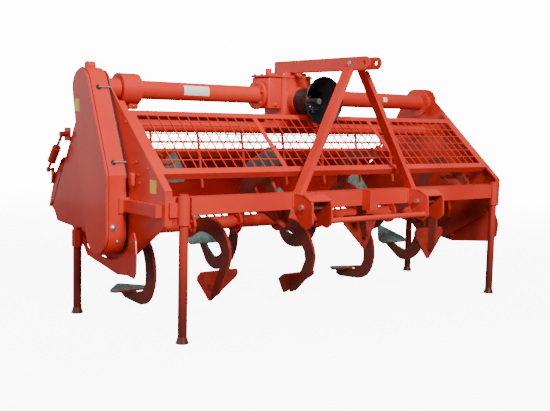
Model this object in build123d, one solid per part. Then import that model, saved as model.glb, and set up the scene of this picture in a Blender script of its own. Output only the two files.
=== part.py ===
from build123d import *
import math
import os

os.makedirs("parts", exist_ok=True)

# Lengths are in millimetres. While it is built, the machine has x = 0 at its middle,
# y = 0 at the front face of its front beam, z = 0 at the floor, and y grows to the rear.

# Clearances: welded or bolted pieces, sliding tubes, turning shafts and pieces that pass
seat = 0.3
slide_gap = 1.0
shaft_gap = 0.3
pass_gap = 6.0

# Side plates, one at each end of the working width
half_width = 1250.0
plate_t = 10.0
plate_front_y = 34.0
plate_low_z = 569.0
kink_z = 737.5
slope_run = 1.15
head_r = 95.0
lobe_r = 198.0
rear_top = (853.0, 1327.0)
rear_low = (1340.0, 552.0)
rear_foot = (1277.0, 466.0)
rear_step = (902.0, 448.0)
plate_corner_r = 70.0
flange_w = 40.0
flange_t = 8.0

# Rotor
rotor_y = 520.0
rotor_z = 502.0
rotor_tube_r = 37.0
journal_r = 30.0
hub_r = 72.0
hub_t = 16.0
hub_sides = 12
station_count = 8
last_station_inset = 190.0
arms_per_station = 2
bearing_r = 100.0
bearing_boss_r = 62.0
bearing_t = 24.0

# Spades
arm_t = 18.0
root_w = 98.0
arm_bow = 150.0
arm_w = 97.0
arm_reach = 412.0
foot_h = 60.0
foot_start = -2.0
foot_end = 208.0
blade_w = 256.0
blade_heel = 68.0
blade_tip = 264.0
blade_t = 10.0

# Drive line across the top
drive_y = 704.0
drive_z = 1230.0
tube_r = 50.8
collar_r = 85.0
collar_l = 113.0
stub_l = 91.0
stub_r = 55.0
disc_r = 92.0
disc_inset = 85.0
disc_t = 16.0
box_half = 115.0
box_y = (600.0, 800.0)
box_low_z = 1122.0
neck_r = 74.0
neck_l = 110.0
tube_flange_r = 86.0
tube_flange_t = 18.0
pinion_z = 1200.0
pinion_r = 86.0
pinion_front_y = 552.0
shaft_r = 17.45
shaft_front_y = 400.0
shaft_step_y = 515.0
shaft_journal_r = 22.0
nose_r = 36.0
nose_l = 24.0
cone_front_y = 353.0
cone_front_r = 140.0
cone_waist_y = 450.0
cone_rear_r = 77.0
cone_wall = 4.0

# Chain case on the left end
case_gap = 15.0
case_w = 105.0
cover_t = 12.0
case_low_r = 129.0
case_top_r = 105.0
case_kink_z = 790.0
cover_inset = 9.0
lug_r = 24.0
post_r = 11.0
post_at = ((455.0, 700.0), (420.0, 760.0), (690.0, 900.0))
side_arm_w = 34.0
side_arm_h = 60.0

# Front beam and the frame above it
beam_d = 80.0
beam_low_z = 622.0
beam_h = 84.5
beam_wall = 6.0
rail_low_z = 825.0
rail_top_z = 1104.5
rail_face = 38.0
rail_web = 40.0
rail_t = 6.0
side_bar_w = 26.0
divider_x = 440.0
divider_w = 30.0
wire_s = 4.8
wire_pitch = 60.0

# Mast
mast_x = 43.0
mast_t = 10.0
mast_low_z = 1372.0
mast_h = 70.0
mast_front_y = -60.0
mast_rear_y = 780.0
top_pin_y = -22.0
top_pin_r = 12.8
leg_bar_x = 30.0
leg_bar_y = 60.0
leg_top = (54.5, 97.0)
leg_foot = (423.5, 45.0)
lid_drop = 34.0
lid_edge = 6.0
seat_low_half = 190.0
seat_top_half = 110.0
seat_web = 12.0

# Lower hitch
hitch_x = 430.0
hitch_gap = 118.0
hitch_t = 12.0
link_pin_r = 14.0
link_pin_y = -75.0
link_pin_z = 638.0
cross_bar_r = 15.0
cross_bar_y = -130.0
cross_bar_z = 568.0

# Stands
stand_r = 23.0
foot_r = 33.0
foot_rise = 34.0
sleeve_r = 30.0
front_stand_inset = 91.0
front_stand_y = 12.0
front_stand_top = 722.0
rear_stand_outset = 58.0
rear_stand_y = 873.0
rear_stand_top = 478.0
rear_sleeve_z = (372.0, 462.0)

# Cross members
main_tube_y = 720.0
main_tube_z = 1035.0
main_tube_r = 35.0
rod_r = 8.0
rod_foot = (650.0, 690.0)
rear_rail_top_z = 1095.0
rear_rail_low_z = 885.0
rear_rail_s = 40.0
rear_rail_inset = 10.0

# Tailgate
hinge_tube_r = 14.0
hinge_pin_r = 8.0
gate_t = 5.0
gate_line = [(1190, 845), (1224, 824), (1281, 763), (1340, 670), (1398, 540), (1268, 463)]
gate_cheek_t = 8.0
gate_cheek_drop = 30.0
comb_bar_s = 18.0
tine_t = 10.0
tine_count = 41
tine_end = (1033.0, 387.0)
gate_arm_t = 8.0
gate_pad_l = 80.0
gate_pad_w = 60.0
adjuster_top = (1120.0, 977.0)
adjuster_eye = (1318.0, 764.0)
adjuster_rod_r = 9.0
eye_r = 16.0
barrel_r = 25.0
barrel_l = 112.0
bracket_s = 76.0

# Soil shields
shield_outset = 35.0
shield_t = 6.0
shield_bend_y = 330.0
shield_flare = 18.0
shield_post_r = 12.0

slope_len = math.hypot(slope_run, 1.0)
slope_plane = Plane(
    origin=(0, plate_front_y, kink_z),
    x_dir=(1, 0, 0),
    z_dir=(0, -1 / slope_len, slope_run / slope_len),
)
edge_dy = rear_low[0] - rear_top[0]
edge_dz = rear_low[1] - rear_top[1]
edge_len = math.hypot(edge_dy, edge_dz)
rear_plane = Plane(
    origin=(0, rear_top[0], rear_top[1]),
    x_dir=(1, 0, 0),
    z_dir=(0, -edge_dz / edge_len, edge_dy / edge_len),
)
hinge_s = (rear_top[1] - rear_rail_low_z) * edge_len / -edge_dz + rear_rail_s / 2 + hinge_tube_r + pass_gap
hinge_at = rear_plane.from_local_coords(Vector(0, hinge_s, -hinge_tube_r - 2))
hinge_y = hinge_at.Y
hinge_z = hinge_at.Z
inner_x = half_width - plate_t
front_stand_x = half_width - front_stand_inset
rear_stand_x = half_width + rear_stand_outset
shield_x = half_width + shield_outset
collar_x = (-half_width + stub_l, -half_width + stub_l + collar_l)
disc_x = half_width - disc_inset
flange_x = box_half + neck_l
journal_end = half_width + case_gap - seat
nodes = {}


def slope_y(z):
    """Depth of the sloping front at height z."""
    return plate_front_y + slope_run * (z - kink_z)


def up_slope(z):
    """Distance along the slope from its lower kink to height z."""
    return (z - kink_z) * slope_len


def down_edge(z):
    """Distance along the rear edge from its top to height z."""
    return (rear_top[1] - z) * edge_len / -edge_dz


def outline(points):
    return make_face(Polyline(points, close=True))


def inner_line(line, depth):
    """The line moved inward by a depth, its corners kept."""
    inner = []
    for i, point in enumerate(line):
        turns = []
        for a, b in ((i - 1, i), (i, i + 1)):
            if a >= 0 and b < len(line):
                run = math.dist(line[a], line[b])
                turns.append(((line[b][1] - line[a][1]) / run, (line[a][0] - line[b][0]) / run))
        n_y = sum(turn[0] for turn in turns)
        n_z = sum(turn[1] for turn in turns)
        scale = depth * len(turns) / (n_y ** 2 + n_z ** 2)
        inner.append((point[0] + n_y * scale, point[1] + n_z * scale))
    return inner


def sheet_face(line, thickness):
    """Section of a folded sheet whose outer side is the line."""
    return outline(line + inner_line(line, thickness)[::-1])


def plate(face, x0, x1):
    """Plate from x0 to x1 whose face is drawn with depth across and height up."""
    return Pos(min(x0, x1), 0, 0) * extrude(Plane.YZ * face, abs(x1 - x0))


def bar_x(radius, x0, x1, y, z):
    return Pos((x0 + x1) / 2, y, z) * Rot(0, 90, 0) * Cylinder(radius, abs(x1 - x0))


def bar_y(radius, y0, y1, x, z):
    return Pos(x, (y0 + y1) / 2, z) * Rot(-90, 0, 0) * Cylinder(radius, abs(y1 - y0))


def bar_z(radius, z0, z1, x, y):
    return Pos(x, y, (z0 + z1) / 2) * Cylinder(radius, abs(z1 - z0))


def prism_x(radius, sides, x0, x1, y, z):
    """Bar along x with a regular section of few sides."""
    return plate(Pos(y, z) * RegularPolygon(radius, sides), x0, x1)


def block(x0, x1, y0, y1, z0, z1):
    centre = Pos((x0 + x1) / 2, (y0 + y1) / 2, (z0 + z1) / 2)
    return centre * Box(abs(x1 - x0), abs(y1 - y0), abs(z1 - z0))


def tangent_point(point, centre, radius, turn):
    """Where the line from point touches a round, on its left (turn 1) or right (-1)."""
    dy = centre[0] - point[0]
    dz = centre[1] - point[1]
    reach = math.hypot(dy, dz)
    lean = math.atan2(dz, dy) + turn * math.asin(radius / reach)
    length = math.sqrt(reach ** 2 - radius ** 2)
    return (point[0] + length * math.cos(lean), point[1] + length * math.sin(lean))


def both_sides(shape):
    """The piece and its mirror image at the other end."""
    return Compound([shape, mirror(shape, Plane.YZ)])


# Side plates: the outline with its round head and lobe, and the folded front edge
def side_plate():
    lobe = (rotor_y, rotor_z)
    corners = [
        (plate_front_y, plate_low_z),
        (plate_front_y, kink_z),
        (slope_y(drive_z), drive_z),
        (drive_y, drive_z + head_r),
        rear_top,
        rear_low,
        rear_foot,
        rear_step,
        tangent_point(rear_step, lobe, lobe_r, 1),
        lobe,
        tangent_point((plate_front_y, plate_low_z), lobe, lobe_r, -1),
    ]
    face = outline(corners)
    round_corner = face.vertices().sort_by_distance((rear_top[0], rear_top[1], 0))[0]
    face = fillet(round_corner, plate_corner_r)
    face = face + Pos(drive_y, drive_z) * Circle(head_r) + Pos(*lobe) * Circle(lobe_r)
    shape = plate(face, inner_x, half_width)
    fold_drop = flange_t * (slope_len - 1) / slope_run
    top_s = up_slope(drive_z - head_r * 0.7)
    fold_y = plate_front_y + flange_t
    vertical = block(half_width - flange_w, inner_x, plate_front_y, fold_y, plate_low_z, kink_z - fold_drop)
    sloping = slope_plane * Pos(half_width - (flange_w + plate_t) / 2, top_s / 2, -flange_t / 2) * Box(
        flange_w - plate_t, top_s, flange_t
    )
    shape = shape + vertical + sloping
    shape -= bar_x(journal_r + shaft_gap, inner_x - 1, half_width + 1, rotor_y, rotor_z)
    shape -= bar_x(hinge_pin_r + shaft_gap, inner_x - 1, half_width + 1, hinge_y, hinge_z)
    return shape


nodes["right_side_plate"] = side_plate()
nodes["left_side_plate"] = mirror(nodes["right_side_plate"], Plane.YZ)


# Front beam: a rectangular tube, stepped back at its ends behind the stand sleeves
def front_beam():
    tube = block(-inner_x + seat, inner_x - seat, 0, beam_d, beam_low_z, beam_low_z + beam_h)
    beam_half = front_stand_x - sleeve_r - 2 * slide_gap - 3
    tube -= block(
        -beam_half + 60,
        beam_half - 60,
        beam_wall,
        beam_d - beam_wall,
        beam_low_z + beam_wall,
        beam_low_z + beam_h - beam_wall,
    )
    step_y = max(front_stand_y + sleeve_r, plate_front_y + flange_t) + seat
    for side in (-1, 1):
        end_x = side * half_width
        tube -= block(side * beam_half, end_x, -1, step_y, beam_low_z - 1, beam_low_z + beam_h + 1)
    return tube


nodes["front_beam"] = front_beam()
beam_top_z = beam_low_z + beam_h


# Square socket on the front of the beam
def beam_socket():
    outer = block(-8, 56, -64, -seat, beam_low_z - 25, beam_top_z + 6)
    return outer - block(0, 48, -56, -8, beam_low_z - 26, beam_top_z + 7)


nodes["beam_socket"] = beam_socket()


# Guard frame in the slope: two angle rails, two side bars and two dividers
frame_half = half_width - flange_w - seat


def angle_rail(z, web_side):
    """Angle rail: one leg in the slope, the other turned inward."""
    face = Pos(0, up_slope(z), -rail_t / 2) * Box(2 * frame_half, rail_face, rail_t)
    web_s = up_slope(z) + web_side * (rail_face - rail_t) / 2
    web = Pos(0, web_s, -rail_web / 2) * Box(2 * frame_half, rail_t, rail_web)
    return slope_plane * (face + web)


def slope_bar(x, width, s0, s1):
    return slope_plane * Pos(x, (s0 + s1) / 2, -rail_t / 2) * Box(width, s1 - s0, rail_t)


panel_s = (up_slope(rail_low_z) + rail_face / 2, up_slope(rail_top_z) - rail_face / 2)
guard = angle_rail(rail_low_z, -1) + angle_rail(rail_top_z, 1)
for x, width in (
    (-frame_half + side_bar_w / 2, side_bar_w),
    (-divider_x, divider_w),
    (divider_x, divider_w),
    (frame_half - side_bar_w / 2, side_bar_w),
):
    guard += slope_bar(x, width, panel_s[0] - 1, panel_s[1] + 1)
nodes["front_guard_frame"] = guard


def wire_grid(plane, x_range, s_range, depth):
    """Welded grid in a plane: the wires along x lie under the others."""
    x0, x1 = x_range
    s0, s1 = s_range
    columns = round((x1 - x0) / wire_pitch)
    rows = round((s1 - s0) / wire_pitch)
    wires = []
    for i in range(1, columns):
        x = x0 + i * (x1 - x0) / columns
        place = plane * Pos(x, (s0 + s1) / 2, depth)
        wires.append(place * Box(wire_s, s1 - s0 - 2 * seat, wire_s))
    for j in range(1, rows):
        s = s0 + j * (s1 - s0) / rows
        place = plane * Pos((x0 + x1) / 2, s, depth - wire_s - seat)
        wires.append(place * Box(x1 - x0 - 2 * seat, wire_s, wire_s))
    return wires


front_wires = []
for x_range in (
    (-frame_half + side_bar_w, -divider_x - divider_w / 2),
    (-divider_x + divider_w / 2, divider_x - divider_w / 2),
    (divider_x + divider_w / 2, frame_half - side_bar_w),
):
    front_wires += wire_grid(slope_plane, x_range, panel_s, -wire_s / 2)
nodes["front_mesh"] = Compound(front_wires)

# Rear guard: two square rails just inside the plates' rear edge, and the grid between them
rail_depth = rear_rail_inset + rear_rail_s / 2
rails = []
for z in (rear_rail_top_z, rear_rail_low_z):
    rails.append(
        rear_plane * Pos(0, down_edge(z), -rail_depth) * Box(2 * (inner_x - seat), rear_rail_s, rear_rail_s)
    )
nodes["rear_rails"] = Compound(rails)
rear_s = (down_edge(rear_rail_top_z) + rear_rail_s / 2, down_edge(rear_rail_low_z) - rear_rail_s / 2)
nodes["rear_mesh"] = Compound(wire_grid(rear_plane, (-inner_x, inner_x), rear_s, -rail_depth))

# Main cross tube and the rods that hang from it between the rotor's stations
nodes["main_tube"] = bar_x(main_tube_r, -inner_x + seat, inner_x - seat, main_tube_y, main_tube_z)


first_station_x = -(inner_x - pass_gap - blade_w / 2)
station_pitch = (inner_x - last_station_inset - first_station_x) / (station_count - 1)
station_x = [first_station_x + i * station_pitch for i in range(station_count)]


def stripper_rods():
    """Six-sided rods halfway between the stations, square to the tube at their tops."""
    drop = Vector(0, rod_foot[0] - main_tube_y, rod_foot[1] - main_tube_z)
    start = main_tube_r + seat
    rods = []
    for x in station_x[:-1]:
        top = (x + station_pitch / 2, main_tube_y, main_tube_z)
        place = Plane(origin=top, x_dir=(1, 0, 0), z_dir=drop)
        rods.append(place * Pos(0, 0, start) * extrude(RegularPolygon(rod_r, 6), drop.length - start))
    return Compound(rods)


nodes["stripper_rods"] = stripper_rods()


# Mast: two flat bars from the gearbox lid to the top link
def mast_plate(side):
    mid_z = mast_low_z + mast_h / 2
    face = Pos((mast_front_y + mast_rear_y) / 2, mid_z) * SlotOverall(mast_rear_y - mast_front_y, mast_h)
    face += Pos(mast_rear_y - mast_h / 2, mid_z) * Rectangle(mast_h, mast_h)
    face -= Pos(top_pin_y, mid_z) * Circle(top_pin_r)
    return plate(face, side * mast_x - mast_t / 2, side * mast_x + mast_t / 2)


nodes["left_mast_plate"] = mast_plate(-1)
nodes["right_mast_plate"] = mast_plate(1)


def mast_leg():
    foot = Vector(leg_foot[0], leg_foot[1], beam_top_z + seat)
    top = Vector(leg_top[0], leg_top[1], mast_low_z - seat)
    run = top - foot
    width = leg_bar_x * run.length / run.Z
    base = Pos(foot.X, foot.Y, foot.Z) * Rectangle(width, leg_bar_y)
    return extrude(base, run.length, dir=run.normalized())


nodes["right_mast_leg"] = mast_leg()
nodes["left_mast_leg"] = mirror(nodes["right_mast_leg"], Plane.YZ)


# Lower hitch: a pair of cheeks at each side, the pins between them and a bar across
def hitch_bracket():
    corners = [
        (-seat, beam_top_z),
        (-40, beam_top_z),
        (-150, link_pin_z + 34),
        (-156, cross_bar_z - 8),
        (-120, cross_bar_z - 42),
        (-60, cross_bar_z - 24),
        (-seat, beam_low_z),
    ]
    face = outline(corners)
    face = fillet(face.vertices().filter_by_position(Axis.X, -200, -50), 22)
    face -= Pos(link_pin_y, link_pin_z) * Circle(link_pin_r + seat)
    inner = hitch_x - hitch_gap / 2
    outer = hitch_x + hitch_gap / 2
    shape = plate(face, inner - hitch_t, inner) + plate(face, outer, outer + hitch_t)
    shape += block(inner - 1, outer + 1, -12, -seat, beam_low_z, beam_top_z)
    return shape


nodes["right_hitch_bracket"] = hitch_bracket()
nodes["left_hitch_bracket"] = mirror(nodes["right_hitch_bracket"], Plane.YZ)


def link_pins():
    reach = hitch_gap / 2 + hitch_t + 16
    return both_sides(bar_x(link_pin_r, hitch_x - reach, hitch_x + reach, link_pin_y, link_pin_z))


nodes["link_pins"] = link_pins()
bar_end = hitch_x - hitch_gap / 2 - hitch_t - seat
nodes["hitch_bar"] = bar_x(cross_bar_r, -bar_end, bar_end, cross_bar_y, cross_bar_z)


# Gearbox: a rounded block with necks to the two tubes and the pinion's nose at the front
def gearbox():
    body = block(-box_half, box_half, box_y[0], box_y[1], box_low_z, mast_low_z - lid_drop)
    body = fillet(body.edges().filter_by(Axis.Z), 28)
    for side in (-1, 1):
        body += bar_x(neck_r, side * (box_half - 20), side * flange_x, drive_y, drive_z)
    body += bar_y(pinion_r, pinion_front_y, box_y[0], 0, pinion_z)
    body += bar_y(nose_r, pinion_front_y - nose_l, pinion_front_y + 1, 0, pinion_z)
    nose_y = pinion_front_y - nose_l
    return body - bar_y(shaft_journal_r + shaft_gap, nose_y - 1, pinion_front_y + 60, 0, pinion_z)


nodes["gearbox"] = gearbox()


def gearbox_lid():
    low = mast_low_z - lid_drop + seat
    half_x = box_half + lid_edge
    lid = block(-half_x, half_x, box_y[0] - lid_edge, box_y[1] + lid_edge, low, low + 15)
    lid = fillet(lid.edges().filter_by(Axis.Z), 32)
    dome = block(-box_half + 22, box_half - 22, box_y[0] + 22, box_y[1] - 22, low + 14, mast_low_z - seat)
    return lid + fillet(dome.edges().filter_by(Axis.Z), 24)


nodes["gearbox_lid"] = gearbox_lid()


# Pedestal that spreads from the gearbox down to the guard's top rail and the main tube
def pedestal():
    top = box_low_z - seat
    web = outline(
        [
            (-seat_low_half, main_tube_z),
            (seat_low_half, main_tube_z),
            (seat_top_half, top),
            (-seat_top_half, top),
        ]
    )
    shape = block(-box_half, box_half, box_y[0] + 2, box_y[1], top - seat_web, top)
    for y in (box_y[0] + 60, main_tube_y + seat_web):
        shape += Pos(0, y, 0) * extrude(Plane.XZ * web, seat_web)
    reach = seat_low_half + 1
    return shape - bar_x(main_tube_r + seat, -reach, reach, main_tube_y, main_tube_z)


nodes["gearbox_seat"] = pedestal()

# Input shaft, and the cone that guards it
def input_shaft():
    journal = bar_y(shaft_journal_r, shaft_step_y, pinion_front_y + 55, 0, pinion_z)
    return journal + bar_y(shaft_r, shaft_front_y, shaft_step_y + 1, 0, pinion_z)


nodes["input_shaft"] = input_shaft()


def shaft_guard():
    length = cone_waist_y - cone_front_y
    place = Pos(0, cone_front_y + length / 2, pinion_z) * Rot(-90, 0, 0)
    rear_y = pinion_front_y - seat
    shape = place * Cone(cone_front_r, cone_rear_r, length)
    shape += bar_y(cone_rear_r, cone_waist_y, rear_y, 0, pinion_z)
    shape -= place * Cone(cone_front_r - cone_wall, cone_rear_r - cone_wall, length)
    shape -= bar_y(cone_rear_r - cone_wall, cone_waist_y - 1, rear_y - cone_wall, 0, pinion_z)
    return shape - bar_y(nose_r + seat, rear_y - 2 * cone_wall, rear_y + 1, 0, pinion_z)


nodes["shaft_guard"] = shaft_guard()


# Tubes from the gearbox to the two side plates
def left_drive_tube():
    shape = bar_x(tube_r, collar_x[0], -flange_x - seat, drive_y, drive_z)
    shape += bar_x(tube_flange_r, -flange_x - seat - tube_flange_t, -flange_x - seat, drive_y, drive_z)
    shape += bar_x(collar_r, collar_x[0], collar_x[1], drive_y, drive_z)
    return shape + bar_x(stub_r, -inner_x + seat, collar_x[0], drive_y, drive_z)


nodes["left_drive_tube"] = left_drive_tube()


def right_support_tube():
    shape = bar_x(tube_r, flange_x + seat, disc_x, drive_y, drive_z)
    shape += bar_x(tube_flange_r, flange_x + seat, flange_x + seat + tube_flange_t, drive_y, drive_z)
    shape += bar_x(disc_r, disc_x, disc_x + disc_t, drive_y, drive_z)
    return shape + bar_x(stub_r, disc_x, inner_x - seat, drive_y, drive_z)


nodes["right_support_tube"] = right_support_tube()


# Chain case: two rounds joined by tangents, with a bulge at the front
case_x = (-half_width - case_gap - case_w, -half_width - case_gap)


def case_face():
    low = (rotor_y, rotor_z)
    top = (drive_y, drive_z)
    kink = (rotor_y - case_low_r, case_kink_z)
    gap = math.hypot(top[0] - low[0], top[1] - low[1])
    lean = math.atan2(top[0] - low[0], top[1] - low[1])
    spread = lean - math.asin((case_low_r - case_top_r) / gap)
    normal = (math.cos(spread), -math.sin(spread))
    corners = [
        (rotor_y - case_low_r, rotor_z),
        kink,
        tangent_point(kink, top, case_top_r, 1),
        top,
        (top[0] + case_top_r * normal[0], top[1] + case_top_r * normal[1]),
        (low[0] + case_low_r * normal[0], low[1] + case_low_r * normal[1]),
        low,
    ]
    return outline(corners) + Pos(*top) * Circle(case_top_r) + Pos(*low) * Circle(case_low_r)


def chain_case():
    shape = plate(case_face(), case_x[0] + cover_t, case_x[1])
    lug_z = drive_z + case_top_r + lug_r / 3
    shape += bar_x(lug_r, case_x[0] + cover_t + 30, case_x[1] - 20, drive_y + 16, lug_z)
    shape -= bar_x(journal_r + 6, case_x[1] - 12, case_x[1] + 1, rotor_y, rotor_z)
    return shape


nodes["chain_case"] = chain_case()
cover_face = offset(case_face(), -cover_inset)
nodes["chain_case_cover"] = plate(cover_face, case_x[0], case_x[0] + cover_t - seat)


# Housings in the gap between the case and the left plate
def case_spacers():
    gap_x = (case_x[1] + seat, -half_width - seat)
    ring = prism_x(bearing_r, hub_sides, gap_x[0], gap_x[1], rotor_y, rotor_z)
    ring -= bar_x(journal_r + 4, gap_x[0] - 1, gap_x[1] + 1, rotor_y, rotor_z)
    head = prism_x(stub_r + 12, hub_sides, gap_x[0], gap_x[1], drive_y, drive_z)
    posts = [prism_x(post_r, 6, gap_x[0], gap_x[1], y, z) for y, z in post_at]
    return Compound([ring, head] + posts)


nodes["case_spacers"] = case_spacers()


# Arm from the beam's level back to the case's front
def side_arm():
    low = beam_low_z - 12
    outer = -half_width - side_arm_w
    inner = -half_width - seat
    rear_y = rotor_y - case_low_r
    tube = block(outer, inner, plate_front_y + 27, rear_y - 8, low, low + side_arm_h)
    return tube + block(outer - 24, inner, rear_y - 9, rear_y - seat, low - 10, low + side_arm_h + 10)


nodes["left_side_arm"] = side_arm()


# Rotor bearings in flanged housings on the inside of both plates and outside the right plate
def housing(x0, x1, radius):
    return prism_x(radius, hub_sides, x0, x1, rotor_y, rotor_z)


def rotor_bearings():
    bore = bar_x(journal_r + shaft_gap, -half_width, half_width, rotor_y, rotor_z)
    rings = []
    for side in (-1, 1):
        face = side * (inner_x - seat)
        rings.append(housing(face, face - side * bearing_t, bearing_r) - bore)
    near = half_width + seat
    cap = housing(near, near + 14, bearing_r) + housing(near, near + 34, bearing_boss_r)
    cap -= bar_x(journal_r + shaft_gap, half_width - 1, journal_end + 1, rotor_y, rotor_z)
    return Compound(rings + [cap])


nodes["rotor_bearings"] = rotor_bearings()


# Rotor tube with its journals and one hub disc for each station
rotor_half = inner_x - bearing_t - pass_gap


def rotor_tube():
    shape = bar_x(rotor_tube_r, -rotor_half, rotor_half, rotor_y, rotor_z)
    for x in station_x:
        face = x - arm_t / 2 - seat
        shape += prism_x(hub_r, hub_sides, face - hub_t, face, rotor_y, rotor_z)
    for side in (-1, 1):
        shape += bar_x(journal_r, side * (rotor_half - 10), side * journal_end, rotor_y, rotor_z)
    return shape


nodes["rotor_tube"] = rotor_tube()


# One spade, hanging straight down with its tip to the rear: a flat arm bowed to the front,
# bent at its heel into a foot that runs under a heart-shaped blade
def spade():
    blade_z = -arm_reach + foot_h
    root = (root_w / 2, -rotor_tube_r - seat)
    heel = (-arm_bow + 38, blade_z)
    knee = (heel[0] + arm_w * 0.56, blade_z + 60)
    back = ThreePointArc((-root[0], root[1]), (-arm_bow, -arm_reach * 0.54), heel)
    bend = ThreePointArc(heel, (heel[0] + 44, blade_z - 40), (foot_start, -arm_reach))
    sole = Polyline(
        (foot_start, -arm_reach),
        (foot_end - 38, -arm_reach + 8),
        (foot_end, -arm_reach + 26),
        (foot_end - 4, blade_z),
        (foot_start + 40, blade_z),
        (knee[0] + 25, blade_z + 22),
        knee,
    )
    front = ThreePointArc(knee, (-arm_bow + arm_w, -arm_reach * 0.42), root)
    top = Line(root, (-root[0], root[1]))
    arm = plate(make_face([back, bend, sole, front, top]), -arm_t / 2, arm_t / 2)
    side = blade_w / 2
    heart = outline(
        [
            (-side + 14, blade_heel),
            (side - 14, blade_heel),
            (side, blade_heel + 28),
            (side - 5, blade_heel + 52),
            (9, blade_tip),
            (-9, blade_tip),
            (-side + 5, blade_heel + 52),
            (-side, blade_heel + 28),
        ]
    )
    return arm + Pos(0, 0, blade_z) * extrude(heart, blade_t)


one_spade = spade()

# Turn of each station's first spade from straight down, from left to right
station_turns = [0, -64, 51, -45, 72, -7, -90, 32]
groups = {"left_spades": (0, 1, 2), "middle_spades": (3, 4), "right_spades": (5, 6, 7)}
for name, stations in groups.items():
    spades = []
    for i in stations:
        for k in range(arms_per_station):
            turn = station_turns[i] + k * 360 / arms_per_station
            spades.append(Pos(station_x[i], rotor_y, rotor_z) * Rot(turn, 0, 0) * one_spade)
    nodes[name] = Compound(spades)

# Sleeves of the front stands at the beam's ends, and of the rear stands outside the plates
front_sleeves = []
rear_sleeves = []
for side in (-1, 1):
    x = side * front_stand_x
    y = front_stand_y
    sleeve = bar_z(sleeve_r, beam_low_z - 47, beam_top_z + 6, x, y)
    lug_end = side * (half_width - flange_w / 2)
    sleeve += block(x, lug_end, y + 8, plate_front_y - seat, beam_low_z - 10, beam_low_z + 60)
    front_sleeves.append(sleeve - bar_z(stand_r + slide_gap, beam_low_z - 60, beam_top_z + 20, x, y))
    x = side * rear_stand_x
    y = rear_stand_y
    low, top = rear_sleeve_z
    sleeve = Pos(x, y, low) * extrude(RegularPolygon(sleeve_r + 2, 8), top - low)
    near = side * (half_width + seat)
    sleeve += block(near, x, y - 20, y + 20, low + 10, top - 10)
    sleeve += block(near, near + side * 8, y - 60, y + 60, low + 60, top + 90)
    rear_sleeves.append(sleeve - bar_z(stand_r + slide_gap, low - 9, top + 99, x, y))
nodes["front_sleeves"] = Compound(front_sleeves)
nodes["rear_sleeves"] = Compound(rear_sleeves)


# Stands: tubes closed by a cap at the top, with a flared foot
def stand(x, y, top):
    foot = Pos(x, y, foot_rise / 2) * Cone(foot_r, stand_r, foot_rise)
    return bar_z(stand_r, foot_rise, top, x, y) + foot


for end, x, y, top in (
    ("front", front_stand_x, front_stand_y, front_stand_top),
    ("rear", rear_stand_x, rear_stand_y, rear_stand_top),
):
    nodes[f"left_{end}_stand"] = stand(-x, y, top)
    nodes[f"right_{end}_stand"] = stand(x, y, top)


# Soil shields: a strip under the end of the rotor and a fin that flares outward in front
def soil_shield():
    strip = outline(
        [
            (shield_bend_y, 292),
            (440, 280),
            (611, 306),
            (792, 332),
            (rear_stand_y - sleeve_r - seat, 384),
            (rear_stand_y - sleeve_r - seat, 424),
            (780, 372),
            (611, 350),
            (520, 346),
            (430, 362),
            (shield_bend_y, 420),
        ]
    )
    fin = outline(
        [
            (shield_bend_y, 292),
            (160, 306),
            (106, 345),
            (98, 430),
            (122, 500),
            (165, 532),
            (250, 505),
            (shield_bend_y, 420),
        ]
    )
    fin = fillet(fin.vertices().filter_by_position(Axis.X, 90, 200), 16)
    shape = plate(strip, shield_x - shield_t / 2, shield_x + shield_t / 2)
    flared = Pos(shield_x, shield_bend_y, 0) * Rot(0, 0, shield_flare) * Pos(0, -shield_bend_y, 0)
    shape += flared * plate(fin, -shield_t / 2, shield_t / 2)
    for y, z in ((430, 325), (611, 328)):
        shape += prism_x(shield_post_r, 6, half_width + seat, shield_x, y, z)
    return shape


nodes["right_soil_shield"] = soil_shield()
nodes["left_soil_shield"] = mirror(nodes["right_soil_shield"], Plane.YZ)


# Tailgate: a folded skin behind the plates' rear edge, with cheeks and a hinge tube
def gate_skin():
    narrow = inner_x - pass_gap
    tube_top = (hinge_y + hinge_tube_r * 0.7, hinge_z + hinge_tube_r * 0.3)
    shape = plate(sheet_face(gate_line[:-1], gate_t), -half_width, half_width)
    shape += plate(sheet_face([tube_top, gate_line[0]], gate_t), -narrow, narrow)
    shape += plate(sheet_face(gate_line[-2:], gate_t), -narrow, narrow)
    shape += bar_x(hinge_tube_r, -narrow, narrow, hinge_y, hinge_z)
    for side in (-1, 1):
        shape += bar_x(hinge_pin_r, side * (narrow - 20), side * (half_width + 6), hinge_y, hinge_z)
    return shape


nodes["tailgate_skin"] = gate_skin()


def gate_cheek(side):
    """Side wall between the skin and the plate's rear edge."""
    clear = pass_gap + 2
    edge = []
    for z in (gate_line[1][1] - 9, gate_line[3][1] + gate_cheek_drop, gate_line[4][1] + 35):
        s = down_edge(z)
        point = rear_plane.from_local_coords(Vector(0, s, clear))
        edge.append((point.Y, point.Z))
    skin_line = inner_line(gate_line[:-1], gate_t + seat)[2:]
    face = outline(edge + skin_line[::-1])
    return plate(face, side * half_width, side * (half_width - gate_cheek_t))


nodes["tailgate_cheeks"] = Compound([gate_cheek(-1), gate_cheek(1)])


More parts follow.
